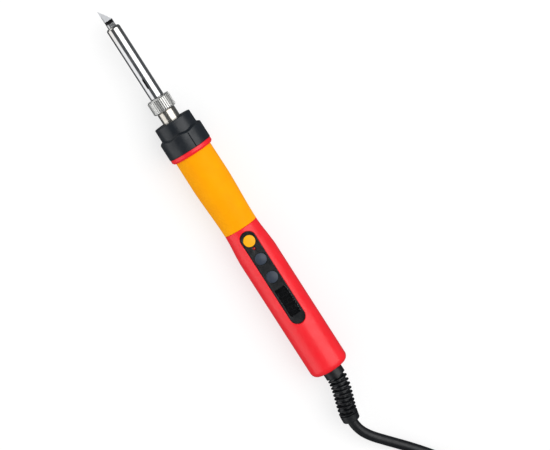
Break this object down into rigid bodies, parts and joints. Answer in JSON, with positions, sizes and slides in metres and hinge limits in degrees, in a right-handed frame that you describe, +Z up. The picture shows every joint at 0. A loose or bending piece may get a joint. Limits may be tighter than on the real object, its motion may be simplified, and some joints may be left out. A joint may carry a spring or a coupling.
{
  "type": "soldering iron",
  "caption": "Mains soldering iron with a knife bit in a steel barrel, knurled nut, black collar, silicone grip, control panel with push buttons and a folded mains lead.",
  "frame": {"origin": "on the bench under the middle of the iron: halfway between the point of the bit and the rear face of the handle, at the height of the collar's lowest point, measured without the mains lead", "axes": "+X along the iron from the bit to the lead, +Z up out of the control panel, +Y to the side"},
  "size_m": [0.446, 0.0534, 0.0316],
  "materials": {
    "bit": "tinned knife face, dark plated shank",
    "barrel_steel": "polished stainless steel",
    "nickel": "bright nickel plate, straight knurl",
    "warm_nickel": "nickel plate warmed by heat",
    "ceramic": "matte white",
    "insulator": "matte heat-resistant board",
    "black_plastic": "fine satin",
    "red_plastic": "satin gloss",
    "silicone": "matte yellow-orange",
    "panel_black": "fine satin",
    "yellow_plastic": "satin",
    "grey_plastic": "satin",
    "window": "smoked, polished",
    "red_lens": "clear red",
    "display": "dark",
    "board_green": "solder mask",
    "component_black": "moulded",
    "component_tan": "dipped",
    "component_blue": "sleeve film",
    "fuse_glass": "clear tube",
    "wire": "silicone insulation",
    "steel": "zinc plate",
    "cord_black": "matte",
    "strap": "hook-and-loop strap",
    "pin_metal": "nickel over brass"
  },
  "bodies": {
    "iron": {"mounting_stub": "warm_nickel", "heater_core": "ceramic", "heater_disc": "insulator", "heater_wires": "wire", "front_collar": "black_plastic", "grip_sleeve": "silicone", "top_shell": "red_plastic", "bottom_shell": "red_plastic", "control_panel": "panel_black", "display_window": "window", "display_module": "display", "indicator_led": "red_lens", "button_switches": "component_black", "circuit_board": "board_green", "controller_chip": "component_black", "power_triac": "component_black", "fuse": "fuse_glass", "film_capacitor": "component_tan", "smoothing_capacitor": "component_blue", "mains_wires": "wire", "lead_end": "cord_black", "cord_clamp": "black_plastic", "clamp_screws": "steel", "shell_screws": "steel", "strain_relief": "cord_black", "cord_lead": "cord_black", "cord_hank": "cord_black", "cord_tie": "strap", "cord_tail": "cord_black", "plug_body": "black_plastic", "plug_pins": "pin_metal"},
    "barrel": {"tip_sleeve": "barrel_steel", "soldering_tip": "bit"},
    "nut": {"retaining_nut": "nickel"},
    "power_key": {"power_button": "yellow_plastic"},
    "up_key": {"up_button": "grey_plastic"},
    "down_key": {"down_button": "grey_plastic"}
  },
  "joints": [
    {"name": "barrel_slide", "type": "slide", "parent": "iron", "child": "barrel", "axis": [-1, 0, 0], "range_m": [0, 0.005]},
    {"name": "nut_turn", "type": "hinge", "parent": "barrel", "child": "nut", "pos_m": [-0.0565, 0, 0.01285], "axis": [-1, 0, 0], "range_deg": [0, 1800]},
    {"name": "power_press", "type": "slide", "parent": "iron", "child": "power_key", "axis": [0, 0, -1], "range_m": [0, 0.0004], "stiffness_N_per_m": 1500},
    {"name": "up_press", "type": "slide", "parent": "iron", "child": "up_key", "axis": [0, 0, -1], "range_m": [0, 0.0004], "stiffness_N_per_m": 1500},
    {"name": "down_press", "type": "slide", "parent": "iron", "child": "down_key", "axis": [0, 0, -1], "range_m": [0, 0.0004], "stiffness_N_per_m": 1500}
  ],
  "couplings": [
    {"joint": "barrel_slide", "follows": "nut_turn", "m_per_rad": 0.000159}
  ]
}
